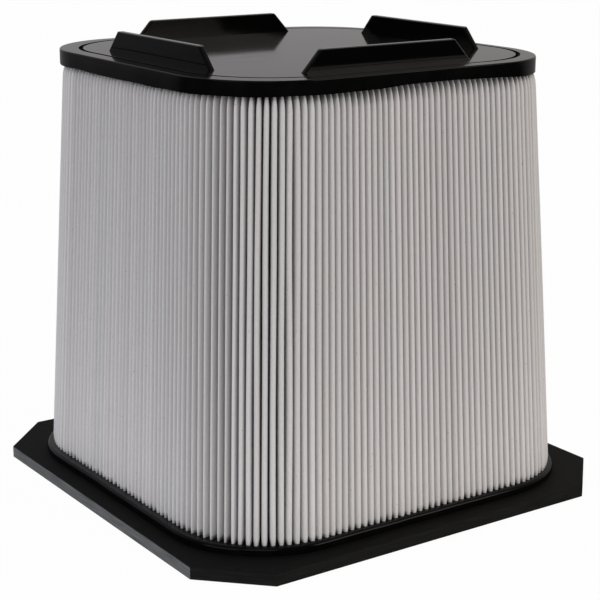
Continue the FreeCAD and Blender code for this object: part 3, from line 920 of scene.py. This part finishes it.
# %% [markdown]
# ## The black plastics
#
# The casting resin is satin black, and the plate is a glossier moulding with faint flow
# streaks. On the plate, level faces are painted a little paler than upright ones as painted
# light, and a painted highlight runs as a paler line along the crest of each rib. The flange is
# a fine-grained sheet with a duller face and a sawn edge, which is a little paler than the face,
# and painted light makes it much paler on the left side. The cage is a plain moulding. All are
# near black, and they differ most in gloss and relief.

# %% Paint the casting resin
resin, net, shader = new_finish("cast_resin", 0.14, 0.15)
cloud = spots(net, 9 * MM)
fine = spots(net, 0.7 * MM)
base = mix(net, spread(net, cloud, 0, 1), (0.0014, 0.0014, 0.0015, 1), (0.0030, 0.0029, 0.0028, 1))
feed(net, shader, "Base Color", base)
feed(net, shader, "Roughness", spread(net, fine, 0.08, 0.16))
relief = raise_surface(net, shader, cloud, 0.12 * MM, 0.3)
raise_surface(net, shader, fine, 0.01 * MM, 0.4, relief)
dress(resin, upper_ring, collar)
print("resin nodes:", len(net.nodes))

# %% Paint the plate
gloss, net, shader = new_finish("glossy_plate", 0.1, 0.15)
streak = spots(net, 1.2 * MM, 4, (22, 1, 22))
haze = spots(net, 14 * MM)
# Painted light: level faces are painted a little paler than upright ones
painted_top_light = spread(net, levelness(net), 0, 1, 0.2, 0.45)
level = part_of(net, add_node(net, "ShaderNodeTexCoord").outputs["Object"], "Z")
# Painted highlight: a paler line along the top of each rib
painted_crest_highlight = spread(net, level, 0, 1, rib_top - 0.5 * MM, rib_top - 0.2 * MM)
base = mix(net, painted_top_light, (0.0018, 0.0018, 0.0018, 1), (0.0042, 0.0041, 0.0039, 1))
feed(net, shader, "Base Color", mix(net, painted_crest_highlight, base, (0.06, 0.06, 0.06, 1)))
feed(net, shader, "Roughness", spread(net, streak, 0.04, 0.12))
relief = raise_surface(net, shader, streak, 0.006 * MM, 0.4)
raise_surface(net, shader, haze, 0.02 * MM, 0.2, relief)
dress(gloss, plate)
print("plate nodes:", len(net.nodes))

# %% Paint the flange
sheet_stock, net, shader = new_finish("flange_stock", 0.7, 0.15)
grain = spots(net, 0.35 * MM)
sawn = spots(net, 0.5 * MM, 4, (30, 30, 1))
side = spread(net, levelness(net), 1, 0, 0.3, 0.8)
# Painted light: sawn edges facing left get the full pale edge colour, and elsewhere it is scaled down
# to less than a tenth
left = spread(net, face_towards(net, "X"), 1, 0.08, -0.98, -0.85)
faces = mix(net, spread(net, grain, 0, 1), (0.0022, 0.0022, 0.0022, 1),
            (0.0045, 0.0045, 0.0044, 1))
edges = mix(net, spread(net, sawn, 0, 1), (0.08, 0.084, 0.084, 1), (0.19, 0.198, 0.198, 1))
feed(net, shader, "Base Color", mix(net, side, faces, scaled(net, edges, left)))
feed(net, shader, "Roughness", spread(net, grain, 0.62, 0.8))
relief = raise_surface(net, shader, grain, 0.03 * MM, 0.5)
raise_surface(net, shader, sawn, 0.03 * MM, 0.35, relief)
dress(sheet_stock, flange)
print("flange nodes:", len(net.nodes))

# %% Paint the cage
moulding, net, shader = new_finish("cage_moulding", 0.42, 0.4)
cloud = spots(net, 12 * MM)
grain = spots(net, 0.4 * MM, 2)
base = mix(net, spread(net, cloud, 0, 1), (0.012, 0.012, 0.012, 1), (0.02, 0.02, 0.0195, 1))
feed(net, shader, "Base Color", base)
feed(net, shader, "Roughness", spread(net, grain, 0.36, 0.5))
raise_surface(net, shader, grain, 0.02 * MM, 0.4)
dress(moulding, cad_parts["support_cage"])
print("finishes:", ", ".join(sorted(m.name for m in bpy.data.materials if m.users)))

# %% [markdown]
# ## Attach the pieces and hide the solids they replace

# %% Attach each piece and hide its solid
for piece, node, finish in (
    (filter_sheet, "pleated_media", "filter_media"),
    (upper_ring, "upper_potting_ring", "cast_polyurethane"),
    (collar, "lower_potting_ring", "cast_polyurethane"),
    (plate, "closing_plate", "plate_plastic"),
    (flange, "base_flange", "flange_plastic"),
):
    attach(piece, "root")
    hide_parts(node)

# %% [markdown]
# ## The floor and the light
#
# The cartridge stands on a pale floor before white. The floor looks nearly white to the
# camera and keeps a soft shadow. Glossy faces mirror it as dark, and as paler only well behind
# the cartridge. The world is white where the camera looks. For the rest it is a soft light,
# cooler from the left and warmer from the right. Glossy faces mirror it as pale towards the
# far side, which shows on the plate, and as dark towards the viewer, so that the upright black
# faces stay dark.

# %% Floor
FLOOR_SIZE, FLOOR_LEVEL = 6, -0.0002
FLOOR_WHITE = 0.965
WHITE = (1, 1, 1, 1)
away = (view_line.x, view_line.y, 0)
bpy.ops.object.select_all(action="DESELECT")
bpy.ops.mesh.primitive_plane_add(size=FLOOR_SIZE, location=(0, 0, FLOOR_LEVEL))
floor = bpy.context.object
floor.name = "floor"
pale, net, shader = new_finish("pale_floor", 0.9, 0.1)
rays = add_node(net, "ShaderNodeLightPath").outputs
ground = add_node(net, "ShaderNodeTexCoord").outputs["Object"]
behind = spread(net, along(net, ground, away), 0, 1, 0.3, 0.8)
mirrored = mix(net, behind, (0.006, 0.006, 0.006, 1), (0.3, 0.3, 0.3, 1))
feed(net, shader, "Base Color", mix(net, rays["Is Glossy Ray"], (0.93, 0.93, 0.93, 1), mirrored))
glow = add_node(net, "ShaderNodeEmission", {"Color": WHITE, "Strength": 1})
blend = add_node(net, "ShaderNodeMixShader", {
    "Fac": combine(net, "MULTIPLY", rays["Is Camera Ray"], FLOOR_WHITE),
    1: shader.outputs["BSDF"],
    2: glow.outputs["Emission"],
})
feed(net, net.nodes["Material Output"], "Surface", blend.outputs["Shader"])
dress(pale, floor)
print("floor nodes:", len(net.nodes))

# %% World
SOFT_LIGHT = 0.72
COOL, WARM = (0.92, 0.92, 1.0, 1), (1.0, 0.93, 0.855, 1)
world = bpy.data.worlds.new("studio")
bpy.context.scene.world = world
world.use_nodes = True
net = world.node_tree
sky = net.nodes["Background"]
rays = add_node(net, "ShaderNodeLightPath").outputs
direction = add_node(net, "ShaderNodeTexCoord").outputs["Generated"]
plain = combine(net, "MAXIMUM", rays["Is Camera Ray"], rays["Is Transmission Ray"])
backdrop = spread(net, along(net, direction, away), 0.03, 0.45, -0.3, 0.5)
strength = mix(net, rays["Is Glossy Ray"], SOFT_LIGHT, backdrop, "FLOAT")
feed(net, sky, "Strength", mix(net, plain, strength, 1, "FLOAT"))
to_right = along(net, direction, turn @ Vector((1, 0, 0)))
warmth = mix(net, spread(net, to_right, 0, 1, -0.6, 0.6), COOL, WARM)
feed(net, sky, "Color", mix(net, plain, warmth, WHITE))
print("world nodes:", len(net.nodes))

# %% [markdown]
# ## The lamps
#
# All are large and soft: a cool one to the left, a stronger warm one to the right, and one
# behind and above the camera, which lights the corner that faces the viewer.

# %% Lamps
LAMP_AIM = Vector((0, 0, 0.1))


def add_lamp(name, place, size, power, colour):
    """A square soft lamp that points at the middle of the cartridge."""
    aim = LAMP_AIM - Vector(place)
    bpy.ops.object.light_add(type="AREA", location=place,
                             rotation=aim.to_track_quat("-Z", "Y").to_euler())
    lamp = bpy.context.object
    lamp.name = name
    lamp.data.size = size
    lamp.data.energy = power
    lamp.data.color = colour


add_lamp("left_lamp", (-1.3, -0.35, 0.55), 0.9, 2.4, (0.87, 0.88, 1.0))
add_lamp("right_lamp", (0.75, -1.25, 0.65), 0.7, 4.2, (1.0, 0.90, 0.80))
add_lamp("front_lamp", (-0.85, -1.1, 0.9), 0.8, 2.2, (1.0, 0.98, 0.96))
bpy.context.scene.view_settings.view_transform = "Standard"
